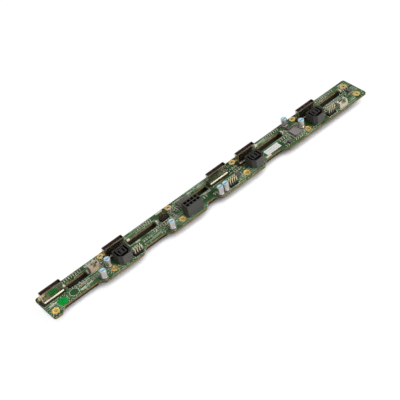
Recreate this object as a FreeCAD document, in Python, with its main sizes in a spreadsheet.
import FreeCAD, Part
import os
import re

import Sketcher

# Drive backplane board: a long circuit board that carries two rows of drive receptacles on its
# underside and the cable sockets, power header and small components on its top face.
# Millimetres. X runs along the board, Y across it and Z up, with the origin at the middle of the
# rest plane, which is the mouth side of the ten drive receptacles.
# Places along the board are measured from a drive column, and places across it from the near edge,
# or from the far edge where a name says inset.

COLUMNS = 5
ROWS = ("lower", "upper")

DIMENSIONS = {
    # the board and the grid of drives behind it
    "column_pitch": 82.2,
    "left_margin": 33.0,
    "right_margin": 34.2,
    "board_width": 33.3,
    "board_thickness": 2.0,
    "board_corner": 2.5,
    # bolt holes
    "hole_diameter": 3.8,
    "lower_hole_y": 7.0,
    "upper_hole_inset": 3.6,
    "hole_shift": 1.0,
    "left_hole_inset": 5.8,
    "right_hole_inset": 7.8,
    "right_upper_hole_inset": 8.0,
    # notches in the near edge and air slots along the middle
    "notch_depth": 6.0,
    "notch_slope": 6.9,
    "notch_corner": 1.5,
    "slot_inset": 7.4,
    "slot_breadth": 6.9,
    "slot_corner": 1.0,
    # drive receptacles under the board
    "receptacle_height": 7.6,
    "receptacle_width": 43.0,
    "receptacle_depth": 5.5,
    "receptacle_upper_inset": 3.35,
    "row_pitch": 16.5,
    "core_width": 35.0,
    "core_depth": 5.1,
    "core_recess": 0.4,
    "guide_chamfer": 0.3,
    "drive_slot_width": 32.4,
    "drive_slot_depth": 1.8,
    "drive_slot_reach": 5.0,
    "key_width": 1.2,
    "key_depth": 1.1,
    # two-slot storage cable sockets
    "storage_width": 15.6,
    "storage_depth": 13.5,
    "storage_height": 9.7,
    "storage_y": 10.25,
    "storage_wall": 0.8,
    "storage_end_wall": 2.2,
    "storage_back_wall": 1.3,
    "storage_bevel": 3.2,
    "storage_well": 7.4,
    "island_width": 8.8,
    "island_depth": 7.0,
    "island_gap": 1.2,
    "card_slot_width": 1.7,
    "card_slot_length": 5.6,
    "card_slot_spacing": 4.4,
    "card_slot_reach": 6.4,
    "rib_width": 0.8,
    "rib_pitch": 2.6,
    "rib_reach": 0.4,
    "rib_count": 4,
    # tall cable sockets with folded metal shells
    "shell_width": 23.0,
    "shell_depth": 5.2,
    "shell_top": 12.9,
    "shell_wall": 0.3,
    "shell_corner": 1.0,
    "socket_clearance": 1.7,
    "lip_width": 21.6,
    "lip_height": 0.7,
    "lip_reach": 0.7,
    "tab_width": 1.4,
    "tab_reach": 1.3,
    "socket_base_width": 25.2,
    "socket_base_depth": 7.4,
    "socket_base_forward": 0.3,
    "socket_base_height": 2.0,
    "socket_base_chamfer": 0.6,
    "tongue_width": 19.0,
    "tongue_depth": 1.4,
    "tongue_top": 11.4,
    # power header
    "power_x": -28.3,
    "power_y": 7.9,
    "power_width": 18.0,
    "power_depth": 9.6,
    "power_height": 12.8,
    "power_pitch": 4.2,
    "power_cavity": 3.5,
    "power_cavity_bevel": 0.9,
    "power_floor": 2.6,
    "power_latch_width": 6.0,
    "power_latch_reach": 0.9,
    "power_latch_height": 3.4,
    "power_pin": 1.1,
    "power_pin_top": 10.2,
    # capacitors
    "can_diameter": 6.3,
    "can_height": 10.0,
    "can_rim": 0.45,
    # pin headers
    "pin_pitch": 2.54,
    "pin_size": 0.64,
    "pin_top": 9.0,
    "header_height": 2.5,
    "header_bevel": 0.5,
    # wafer connectors
    "wafer_width": 10.6,
    "wafer_depth": 5.2,
    "wafer_height": 6.6,
    "wafer_wall": 0.8,
    "wafer_floor": 1.6,
    "wafer_1_window": 3.6,
    "wafer_2_window": 6.0,
    "wafer_window_reach": 3.2,
    "wafer_pin": 0.6,
    "wafer_pin_pitch": 2.5,
    "wafer_pin_top": 3.0,
    # flat parts
    "switch_chip_x": -26.8,
    "switch_chip_y": 21.0,
    "switch_chip_side": 14.8,
    "switch_chip_height": 1.3,
    "control_chip_x": 28.6,
    "control_chip_y": 13.0,
    "control_chip_side": 10.0,
    "control_chip_height": 1.6,
    "chip_corner": 1.1,
    "indicator_width": 2.0,
    "indicator_depth": 3.4,
    "indicator_height": 2.0,
    "indicator_gap": 0.3,
    "sticker_x": -16.0,
    "sticker_y": 11.4,
    "sticker_diameter": 10.0,
    "label_x": -3.6,
    "label_y": 12.6,
    "label_width": 18.0,
    "label_depth": 7.5,
    "film_thickness": 0.1,
}

# what repeats: (drive column, x from that column, y) or (drive column, first x, last x)
NOTCHES = [(0, -17.8, 18.8), (1, -6.0, 16.6), (2, -11.8, -4.1), (3, -18.2, 0.9)]
SLOTS = [(0, -3.7, 18.8), (1, -15.2, 18.8), (2, -17.5, 0.4), (3, -13.9, 17.1), (4, -10.2, 17.2)]
STORAGE_SOCKETS = [(1, -28.4), (3, -27.5), (4, -26.7)]
SHELL_SOCKETS = [(0, -19.1), (1, -29.5), (2, 15.0), (3, -29.5), (4, -29.7)]
CAPACITORS = [
    (0, 26.8, 4.6),
    (0, 38.1, 13.2),
    (1, 25.8, 4.5),
    (2, 3.4, 3.7),
    (2, 10.2, 3.7),
    (3, 27.8, 27.9),
    (3, 37.2, 12.9),
]
PIN_HEADERS = [(1, -15.4, 5.0), (2, 19.9, 5.0), (4, -11.4, 5.0), (1, 28.6, 21.3)]
WAFERS = [(0, 26.9, 21.0), (4, 4.0, 4.8)]
SMALL_CHIPS = [(2, 31.6, 11.0), (3, 15.4, 6.2), (3, 27.4, 21.8), (4, 25.2, 16.2)]
INDICATOR_SLOTS = (0, 1, 3, 4)

PINS_ALONG = 4
PINS_ACROSS = 2
WAFER_PINS = 3
SMALL_CHIP_SIDE = 4.2
SMALL_CHIP_HEIGHT = 1.2

# sizes that follow from the sheet, as formulas of its aliases
BOARD_LENGTH = f"(left_margin + {COLUMNS - 1} * column_pitch + right_margin)"
BOARD_TOP = "(receptacle_height + board_thickness)"
UPPER_HOLE_Y = "(board_width - upper_hole_inset)"
RIGHT_UPPER_HOLE_Y = "(board_width - right_upper_hole_inset)"
SLOT_FAR_Y = "(board_width - slot_inset)"
SLOT_NEAR_Y = f"({SLOT_FAR_Y} - slot_breadth)"
SHELL_Y = (
    "(storage_y + storage_depth / 2 + socket_clearance"
    " + socket_base_depth / 2 + socket_base_forward)"
)
CAVITY_EDGE = "(power_cavity / 2)"


def place_cells():
    """One cell for each coordinate of the repeated parts, so that each can be moved in the sheet."""
    cells = {}
    for group, places in (("notch", NOTCHES), ("slot", SLOTS)):
        for number, (column, first, last) in enumerate(places, 1):
            cells[f"{group}_{number}_first"] = first
            cells[f"{group}_{number}_last"] = last
    for group, places in (("storage", STORAGE_SOCKETS), ("socket", SHELL_SOCKETS)):
        for number, (column, x) in enumerate(places, 1):
            cells[f"{group}_{number}_x"] = x
    groups = (("capacitor", CAPACITORS), ("header", PIN_HEADERS), ("wafer", WAFERS), ("chip", SMALL_CHIPS))
    for group, places in groups:
        for number, (column, x, y) in enumerate(places, 1):
            cells[f"{group}_{number}_x"] = x
            cells[f"{group}_{number}_y"] = y
    return cells


doc = FreeCAD.newDocument("DriveBackplane")
sheet = doc.addObject("Spreadsheet::Sheet", "Dimensions")
values = {**DIMENSIONS, **place_cells()}
for row, (alias, number) in enumerate(values.items(), 1):
    sheet.set(f"A{row}", alias.replace("_", " "))
    sheet.set(f"B{row}", str(number))
    sheet.setAlias(f"B{row}", alias)
doc.recompute()

nodes = []


def formula(text):
    """The text with each alias of the sheet written the way an expression names it."""
    def named(match):
        word = match.group()
        return f"Dimensions.{word}" if word in values else word

    return re.sub(r"[a-z][a-z0-9_]*", named, text)


def amount(text):
    """The number that a formula gives now."""
    return float(sheet.evalExpression(formula(text)))


def column_x(column, offset="0"):
    """Formula of a place along the board, measured from the board's left end."""
    return f"(left_margin + {column} * column_pitch + {offset})"


def bind(thing, name, text):
    thing.setExpression(name, formula(text))


def new_body(label, x="0", y="0", z="0"):
    """An empty body whose origin stands at the formulas x, y and z."""
    body = doc.addObject("PartDesign::Body", label)
    body.Label = label
    for axis, text in (("x", x), ("y", y), ("z", z)):
        bind(body, f"Placement.Base.{axis}", text)
    nodes.append(body)
    return body


def on_board(label, x, y):
    """A body that stands on the board's top face, at x from the left end and y from the near edge."""
    return new_body(label, f"{x} - {BOARD_LENGTH} / 2", f"{y} - board_width / 2", BOARD_TOP)


def new_sketch(body, name, height="0", plane="XY_Plane"):
    """A sketch on one of the body's own origin planes, lifted off it by a formula."""
    sketch = body.newObject("Sketcher::SketchObject", f"{body.Name}_{name}")
    support = [feature for feature in body.Origin.OriginFeatures if feature.Role == plane][0]
    sketch.AttachmentSupport = [(support, "")]
    sketch.MapMode = "FlatFace"
    bind(sketch, "AttachmentOffset.Base.z", height)
    return sketch


def hold(sketch, kind, first, second, text):
    """One driving constraint, bound to its formula."""
    index = sketch.addConstraint(Sketcher.Constraint(kind, *first, *second, amount(text)))
    bind(sketch, f"Constraints[{index}]", text)


def outline(sketch, corners):
    """Closed outline of straight sides through corners, each a pair of formulas."""
    points = [FreeCAD.Vector(amount(x), amount(y), 0) for x, y in corners]
    first = sketch.GeometryCount
    count = len(points)
    for index in range(count):
        side = Part.LineSegment(points[index], points[(index + 1) % count])
        sketch.addGeometry(side, False)
    for index, (x, y) in enumerate(corners):
        following = first + (index + 1) % count
        sketch.addConstraint(Sketcher.Constraint("Coincident", first + index, 2, following, 1))
        hold(sketch, "DistanceX", (-1, 1), (first + index, 1), x)
        hold(sketch, "DistanceY", (-1, 1), (first + index, 1), y)


def rectangle(sketch, x, y, width, depth):
    """Rectangle about the point (x, y)."""
    left = f"{x} - ({width}) / 2"
    right = f"{x} + ({width}) / 2"
    near = f"{y} - ({depth}) / 2"
    far = f"{y} + ({depth}) / 2"
    outline(sketch, [(left, near), (right, near), (right, far), (left, far)])


def circle(sketch, x, y, diameter):
    centre = FreeCAD.Vector(amount(x), amount(y), 0)
    radius = amount(diameter) / 2
    index = sketch.addGeometry(Part.Circle(centre, FreeCAD.Vector(0, 0, 1), radius), False)
    hold(sketch, "DistanceX", (-1, 1), (index, 3), x)
    hold(sketch, "DistanceY", (-1, 1), (index, 3), y)
    hold(sketch, "Diameter", (index,), (), diameter)


def pad(body, sketch, length, middle=False):
    """Material from the sketch along its normal, or to both sides of it."""
    feature = body.newObject("PartDesign::Pad", f"{sketch.Name}_pad")
    feature.Profile = sketch
    feature.Midplane = middle
    bind(feature, "Length", length)
    doc.recompute()
    return feature


def pocket(body, sketch, length, upward=False):
    """Material cut from the sketch against its normal, or along it; it must take something away."""
    before = body.Shape.Volume
    feature = body.newObject("PartDesign::Pocket", f"{sketch.Name}_pocket")
    feature.Profile = sketch
    feature.Reversed = upward
    bind(feature, "Length", length)
    doc.recompute()
    if body.Shape.Volume > before - 1e-6:
        raise RuntimeError(f"{feature.Name} cuts nothing")
    return feature


def upright(edge):
    """True for a straight edge along Z."""
    return abs(edge.tangentAt(edge.FirstParameter).z) > 0.999


def near_upright(edge):
    """True for an edge along Z on the near side of its body."""
    return upright(edge) and edge.Vertexes[0].Y < 0


def dress(body, kind, size, test):
    """Fillet or Chamfer on the edges of the body that pass the test."""
    base = body.Tip
    chosen = [f"Edge{number}" for number, edge in enumerate(base.Shape.Edges, 1) if test(edge)]
    feature = body.newObject(f"PartDesign::{kind}", f"{body.Name}_{kind}")
    feature.Base = (base, chosen)
    bind(feature, "Radius" if kind == "Fillet" else "Size", size)
    doc.recompute()


def spread(index, count, pitch):
    """Formula of the place of one of several things spaced evenly about zero."""
    return f"{index - (count - 1) / 2} * {pitch}"


def hole_places():
    """Places of the twelve bolt holes: a pair between neighbouring columns and one at each end."""
    places = []
    for column in range(COLUMNS - 1):
        middle = column_x(column, "column_pitch / 2 - hole_shift")
        places += [(middle, "lower_hole_y"), (middle, UPPER_HOLE_Y)]
    places += [("left_hole_inset", "lower_hole_y"), ("left_hole_inset", UPPER_HOLE_Y)]
    right = f"({BOARD_LENGTH} - right_hole_inset)"
    places += [(right, "lower_hole_y"), (right, RIGHT_UPPER_HOLE_Y)]
    return places


def circuit_board():
    """The board, with sloped notches in its near edge, air slots and bolt holes."""
    half_length = f"-{BOARD_LENGTH} / 2"
    body = new_body("circuit_board", half_length, "-board_width / 2", "receptacle_height")
    sheet_sketch = new_sketch(body, "outline")
    rectangle(sheet_sketch, f"{BOARD_LENGTH} / 2", "board_width / 2", BOARD_LENGTH, "board_width")
    pad(body, sheet_sketch, "board_thickness")
    dress(body, "Fillet", "board_corner", upright)

    notch_sketch = new_sketch(body, "notches", "board_thickness")
    for number, (column, first, last) in enumerate(NOTCHES, 1):
        left = column_x(column, f"notch_{number}_first")
        right = column_x(column, f"notch_{number}_last")
        corners = [
            (f"{left} - notch_slope", "0"),
            (f"{right} + notch_slope", "0"),
            (right, "notch_depth"),
            (left, "notch_depth"),
        ]
        outline(notch_sketch, corners)
    pocket(body, notch_sketch, "board_thickness")
    length = amount(BOARD_LENGTH)
    corner = amount("board_corner")
    reach = amount("notch_depth") + 0.01

    def notch_corner(edge):
        x = edge.Vertexes[0].X
        return upright(edge) and edge.Vertexes[0].Y < reach and corner < x < length - corner

    dress(body, "Fillet", "notch_corner", notch_corner)

    slot_sketch = new_sketch(body, "slots", "board_thickness")
    for number, (column, first, last) in enumerate(SLOTS, 1):
        left = column_x(column, f"slot_{number}_first")
        right = column_x(column, f"slot_{number}_last")
        corners = [
            (left, SLOT_NEAR_Y),
            (right, SLOT_NEAR_Y),
            (right, SLOT_FAR_Y),
            (left, SLOT_FAR_Y),
        ]
        outline(slot_sketch, corners)
    pocket(body, slot_sketch, "board_thickness")
    near = amount(SLOT_NEAR_Y) - 0.01
    far = amount(SLOT_FAR_Y) + 0.01

    def slot_corner(edge):
        x = edge.Vertexes[0].X
        return upright(edge) and near < edge.Vertexes[0].Y < far and corner < x < length - corner

    dress(body, "Fillet", "slot_corner", slot_corner)

    hole_sketch = new_sketch(body, "holes", "board_thickness")
    for x, y in hole_places():
        circle(hole_sketch, x, y, "hole_diameter")
    pocket(body, hole_sketch, "board_thickness")


def drive_receptacle(row, column):
    """Drive receptacle: a keyed core between two guide posts, with its mouth downward."""
    rows_below = len(ROWS) - 1 - ROWS.index(row)
    y = f"board_width / 2 - receptacle_upper_inset - {rows_below} * row_pitch"
    x = f"{column_x(column)} - {BOARD_LENGTH} / 2"
    body = new_body(f"drive_receptacle_{row}_{column + 1}", x, y)
    core_sketch = new_sketch(body, "core", "core_recess")
    rectangle(core_sketch, "0", "0", "core_width", "core_depth")
    pad(body, core_sketch, "receptacle_height - core_recess")
    post_sketch = new_sketch(body, "posts")
    post_width = "((receptacle_width - core_width) / 2)"
    for side in ("-1", "1"):
        middle = f"{side} * (core_width + receptacle_width) / 4"
        rectangle(post_sketch, middle, "0", post_width, "receptacle_depth")
    pad(body, post_sketch, "receptacle_height")

    slot_sketch = new_sketch(body, "slot", "core_recess")
    right = "drive_slot_width / 2"
    near = "-drive_slot_depth / 2"
    far = "drive_slot_depth / 2"
    corners = [
        (f"-{right}", near),
        (right, near),
        (right, f"{far} + key_depth"),
        (f"{right} - key_width", f"{far} + key_depth"),
        (f"{right} - key_width", far),
        (f"-{right}", far),
    ]
    outline(slot_sketch, corners)
    pocket(body, slot_sketch, "drive_slot_reach", upward=True)

    def tip(edge):
        return all(abs(vertex.Z) < 1e-6 for vertex in edge.Vertexes)

    dress(body, "Chamfer", "guide_chamfer", tip)


def storage_socket(number, column):
    """Two-slot cable socket: an island with two card slots in an off-centre well, both bevelled on
    the near side, and ribs on one end."""
    x = column_x(column, f"storage_{number}_x")
    body = on_board(f"storage_socket_{number}", x, "storage_y")
    block_sketch = new_sketch(body, "block")
    rectangle(block_sketch, "0", "0", "storage_width", "storage_depth")
    pad(body, block_sketch, "storage_height")
    dress(body, "Chamfer", "storage_bevel", near_upright)

    left = "(storage_wall - storage_width / 2)"
    right = "(storage_width / 2 - storage_end_wall)"
    near = "(storage_wall - storage_depth / 2)"
    far = "(storage_depth / 2 - storage_back_wall)"
    well_sketch = new_sketch(body, "well", "storage_height")
    corners = [
        (f"{left} + storage_bevel", near),
        (f"{right} - storage_bevel", near),
        (right, f"{near} + storage_bevel"),
        (right, far),
        (left, far),
        (left, f"{near} + storage_bevel"),
    ]
    outline(well_sketch, corners)
    island_x = "((storage_wall - storage_end_wall) / 2)"
    island_y = f"({far} - island_gap - island_depth / 2)"
    rectangle(well_sketch, island_x, island_y, "island_width", "island_depth")
    pocket(body, well_sketch, "storage_well")

    card_sketch = new_sketch(body, "card_slots", "storage_height")
    for side in ("-1", "1"):
        middle = f"{island_x} + {side} * card_slot_spacing / 2"
        rectangle(card_sketch, middle, island_y, "card_slot_width", "card_slot_length")
    pocket(body, card_sketch, "card_slot_reach")

    rib_sketch = new_sketch(body, "ribs")
    for index in range(int(amount("rib_count"))):
        middle = f"{spread(index, amount('rib_count'), 'rib_pitch')} + storage_bevel / 2"
        rectangle(rib_sketch, "-(storage_width + rib_reach) / 2", middle, "rib_reach", "rib_width")
    pad(body, rib_sketch, "storage_height - storage_wall")


def shell_socket(number, column):
    """Tall cable socket: a folded metal shell with a splayed foot, on a moulded base with a tongue."""
    x = column_x(column, f"socket_{number}_x")
    shell = on_board(f"cable_socket_shell_{number}", x, SHELL_Y)
    ring_sketch = new_sketch(shell, "ring", "socket_base_height")
    rectangle(ring_sketch, "0", "0", "shell_width", "shell_depth")
    pad(shell, ring_sketch, "shell_top - socket_base_height")
    dress(shell, "Fillet", "shell_corner", upright)
    mouth_sketch = new_sketch(shell, "mouth", "shell_top")
    inner_width = "(shell_width - 2 * shell_wall)"
    inner_depth = "(shell_depth - 2 * shell_wall)"
    rectangle(mouth_sketch, "0", "0", inner_width, inner_depth)
    pocket(shell, mouth_sketch, "shell_top - socket_base_height")
    lip_sketch = new_sketch(shell, "lip", plane="YZ_Plane")
    face = "(-shell_depth / 2)"
    foot = "socket_base_height"
    corners = [
        (f"{face} + shell_wall", f"{foot} + lip_height"),
        (f"{face} + shell_wall", f"{foot} + lip_height + 1.4 * shell_wall"),
        (f"{face} - lip_reach", f"{foot} + 1.4 * shell_wall"),
        (f"{face} - lip_reach", foot),
    ]
    outline(lip_sketch, corners)
    pad(shell, lip_sketch, "lip_width", middle=True)
    tab_sketch = new_sketch(shell, "tab", "shell_top - shell_wall")
    tab_y = "(shell_depth / 2 - shell_wall / 2 - tab_reach / 2)"
    rectangle(tab_sketch, "0", tab_y, "tab_width", "tab_reach")
    pad(shell, tab_sketch, "shell_wall")

    base = on_board(f"cable_socket_base_{number}", x, f"({SHELL_Y} - socket_base_forward)")
    plate_sketch = new_sketch(base, "plate")
    rectangle(plate_sketch, "0", "0", "socket_base_width", "socket_base_depth")
    pad(base, plate_sketch, "socket_base_height")
    dress(base, "Chamfer", "socket_base_chamfer", upright)
    tongue_sketch = new_sketch(base, "tongue", "socket_base_height")
    rectangle(tongue_sketch, "0", "socket_base_forward", "tongue_width", "tongue_depth")
    pad(base, tongue_sketch, "tongue_top - socket_base_height")


def power_header():
    """Power header with two rows of four cavities, the near row bevelled, and a latch ramp behind."""
    x = column_x(2, "power_x")
    body = on_board("power_header", x, "power_y")
    block_sketch = new_sketch(body, "block")
    rectangle(block_sketch, "0", "0", "power_width", "power_depth")
    pad(body, block_sketch, "power_height")
    cavity_sketch = new_sketch(body, "cavities", "power_height")
    for column in range(PINS_ALONG):
        middle = spread(column, PINS_ALONG, "power_pitch")
        rectangle(cavity_sketch, middle, "power_pitch / 2", "power_cavity", "power_cavity")
        left = f"{middle} - {CAVITY_EDGE}"
        right = f"{middle} + {CAVITY_EDGE}"
        near = f"-power_pitch / 2 - {CAVITY_EDGE}"
        corners = [
            (f"{left} + power_cavity_bevel", near),
            (f"{right} - power_cavity_bevel", near),
            (right, f"{near} + power_cavity_bevel"),
            (right, f"-power_pitch / 2 + {CAVITY_EDGE}"),
            (left, f"-power_pitch / 2 + {CAVITY_EDGE}"),
            (left, f"{near} + power_cavity_bevel"),
        ]
        outline(cavity_sketch, corners)
    pocket(body, cavity_sketch, "power_height - power_floor")
    latch_sketch = new_sketch(body, "latch", plane="YZ_Plane")
    back = "(power_depth / 2)"
    corners = [
        (back, "power_height - power_latch_height"),
        (f"{back} + power_latch_reach", "power_height - power_latch_height"),
        (back, "power_height"),
    ]
    outline(latch_sketch, corners)
    pad(body, latch_sketch, "power_latch_width", middle=True)

    pins = on_board("power_header_pins", x, "power_y")
    pin_sketch = new_sketch(pins, "pins", "power_floor")
    for column in range(PINS_ALONG):
        for row in range(PINS_ACROSS):
            place = (spread(column, PINS_ALONG, "power_pitch"), spread(row, PINS_ACROSS, "power_pitch"))
            rectangle(pin_sketch, *place, "power_pin", "power_pin")
    pad(pins, pin_sketch, "power_pin_top - power_floor")


def capacitor(number, column):
    """Capacitor can turned from one profile, with a bevelled rim."""
    x = column_x(column, f"capacitor_{number}_x")
    body = on_board(f"capacitor_{number}", x, f"capacitor_{number}_y")
    profile = new_sketch(body, "profile", plane="XZ_Plane")
    radius = "can_diameter / 2"
    corners = [
        ("0", "0"),
        (radius, "0"),
        (radius, "can_height - can_rim"),
        (f"{radius} - can_rim", "can_height"),
        ("0", "can_height"),
    ]
    outline(profile, corners)
    turn = body.newObject("PartDesign::Revolution", f"{body.Name}_turn")
    turn.Profile = profile
    turn.ReferenceAxis = (profile, ["V_Axis"])
    turn.Angle = 360
    doc.recompute()


def pin_header(number, column):
    """Two rows of square pins in a moulded strip that is nicked between the positions."""
    x = column_x(column, f"header_{number}_x")
    y = f"header_{number}_y"
    strip = on_board(f"pin_header_{number}", x, y)
    strip_sketch = new_sketch(strip, "strip")
    near_side = []
    far_side = []
    for index in range(PINS_ALONG):
        middle = spread(index, PINS_ALONG, "pin_pitch")
        left = f"{middle} - pin_pitch / 2"
        right = f"{middle} + pin_pitch / 2"
        stations = [
            (left, "(pin_pitch - header_bevel)"),
            (f"{left} + header_bevel", "pin_pitch"),
            (f"{right} - header_bevel", "pin_pitch"),
        ]
        near_side += [(place, f"-{edge}") for place, edge in stations]
        far_side += stations
    end = f"{PINS_ALONG / 2} * pin_pitch"
    near_side.append((end, "-(pin_pitch - header_bevel)"))
    far_side.append((end, "(pin_pitch - header_bevel)"))
    outline(strip_sketch, near_side + far_side[::-1])
    pins = on_board(f"pin_header_pins_{number}", x, y)
    pin_sketch = new_sketch(pins, "pins")
    for column in range(PINS_ALONG):
        for row in range(PINS_ACROSS):
            place = (spread(column, PINS_ALONG, "pin_pitch"), spread(row, PINS_ACROSS, "pin_pitch"))
            rectangle(strip_sketch, *place, "pin_size", "pin_size")
            rectangle(pin_sketch, *place, "pin_size", "pin_size")
    pad(strip, strip_sketch, "header_height")
    pad(pins, pin_sketch, "pin_top")


def wafer_connector(number, column):
    """Small shrouded connector, open above, with a window cut down through both long walls."""
    x = column_x(column, f"wafer_{number}_x")
    body = on_board(f"wafer_connector_{number}", x, f"wafer_{number}_y")
    block_sketch = new_sketch(body, "block")
    rectangle(block_sketch, "0", "0", "wafer_width", "wafer_depth")
    pad(body, block_sketch, "wafer_height")
    well_sketch = new_sketch(body, "well", "wafer_height")
    inner_width = "(wafer_width - 2 * wafer_wall)"
    inner_depth = "(wafer_depth - 2 * wafer_wall)"
    rectangle(well_sketch, "0", "0", inner_width, inner_depth)
    pocket(body, well_sketch, "wafer_height - wafer_floor")
    window_sketch = new_sketch(body, "window", "wafer_height")
    rectangle(window_sketch, "0", "0", f"wafer_{number}_window", "wafer_depth")
    pocket(body, window_sketch, "wafer_window_reach")
    pins = on_board(f"wafer_connector_pins_{number}", x, f"wafer_{number}_y")
    pin_sketch = new_sketch(pins, "pins", "wafer_floor")
    for index in range(WAFER_PINS):
        rectangle(pin_sketch, spread(index, WAFER_PINS, "wafer_pin_pitch"), "0", "wafer_pin", "wafer_pin")
    pad(pins, pin_sketch, "wafer_pin_top - wafer_floor")


def square_chip(label, column, name):
    """Flat square chip with one corner cut to mark its first lead."""
    body = on_board(label, column_x(column, f"{name}_x"), f"{name}_y")
    sketch = new_sketch(body, "body")
    half = f"{name}_side / 2"
    corners = [
        (f"chip_corner - {half}", f"-{half}"),
        (half, f"-{half}"),
        (half, half),
        (f"-{half}", half),
        (f"-{half}", f"chip_corner - {half}"),
    ]
    outline(sketch, corners)
    pad(body, sketch, f"{name}_height")


def small_chips():
    """The small chips, in one group."""
    body = new_body("small_chips", f"-{BOARD_LENGTH} / 2", "-board_width / 2", BOARD_TOP)
    sketch = new_sketch(body, "bodies")
    for number, (column, x, y) in enumerate(SMALL_CHIPS, 1):
        place = (column_x(column, f"chip_{number}_x"), f"chip_{number}_y")
        rectangle(sketch, *place, str(SMALL_CHIP_SIDE), str(SMALL_CHIP_SIDE))
    pad(body, sketch, str(SMALL_CHIP_HEIGHT))


def slot_indicators():
    """Indicator lamps, each at the right-hand end of an air slot, in one group."""
    body = new_body("slot_indicators", f"-{BOARD_LENGTH} / 2", "-board_width / 2", BOARD_TOP)
    sketch = new_sketch(body, "lamps")
    for slot in INDICATOR_SLOTS:
        column = SLOTS[slot][0]
        end = f"slot_{slot + 1}_last + indicator_gap + indicator_width / 2"
        middle = f"({SLOT_NEAR_Y} + {SLOT_FAR_Y}) / 2"
        rectangle(sketch, column_x(column, end), middle, "indicator_width", "indicator_depth")
    pad(body, sketch, "indicator_height")


def films():
    """The round sticker and the paper label."""
    sticker = on_board("round_sticker", column_x(0, "sticker_x"), "sticker_y")
    sticker_sketch = new_sketch(sticker, "disc")
    circle(sticker_sketch, "0", "0", "sticker_diameter")
    pad(sticker, sticker_sketch, "film_thickness")
    label = on_board("paper_label", column_x(3, "label_x"), "label_y")
    label_sketch = new_sketch(label, "sheet")
    rectangle(label_sketch, "0", "0", "label_width", "label_depth")
    pad(label, label_sketch, "film_thickness")


circuit_board()
for row_name in ROWS:
    for column_number in range(COLUMNS):
        drive_receptacle(row_name, column_number)
for socket_number, (socket_column, socket_x) in enumerate(STORAGE_SOCKETS, 1):
    storage_socket(socket_number, socket_column)
for socket_number, (socket_column, socket_x) in enumerate(SHELL_SOCKETS, 1):
    shell_socket(socket_number, socket_column)
power_header()
for can_number, (can_column, can_x, can_y) in enumerate(CAPACITORS, 1):
    capacitor(can_number, can_column)
for header_number, (header_column, header_x, header_y) in enumerate(PIN_HEADERS, 1):
    pin_header(header_number, header_column)
for wafer_number, (wafer_column, wafer_x, wafer_y) in enumerate(WAFERS, 1):
    wafer_connector(wafer_number, wafer_column)
square_chip("switch_chip", 2, "switch_chip")
square_chip("control_chip", 3, "control_chip")
small_chips()
slot_indicators()
films()

doc.recompute()
for thing in doc.Objects:
    if "Invalid" in thing.State or "Error" in thing.State:
        raise RuntimeError(f"{thing.Name} did not build: {thing.State}")
for node in nodes:
    if node.Shape.isNull() or not node.Shape.isValid():
        raise RuntimeError(f"{node.Label} has no valid shape")

os.makedirs("parts", exist_ok=True)
for node in nodes:
    node.Shape.exportStep(f"parts/{node.Label}.step")
    print(f"{node.Label}: {len(node.Shape.Solids)} solid(s), {node.Shape.Volume:.0f} mm3")
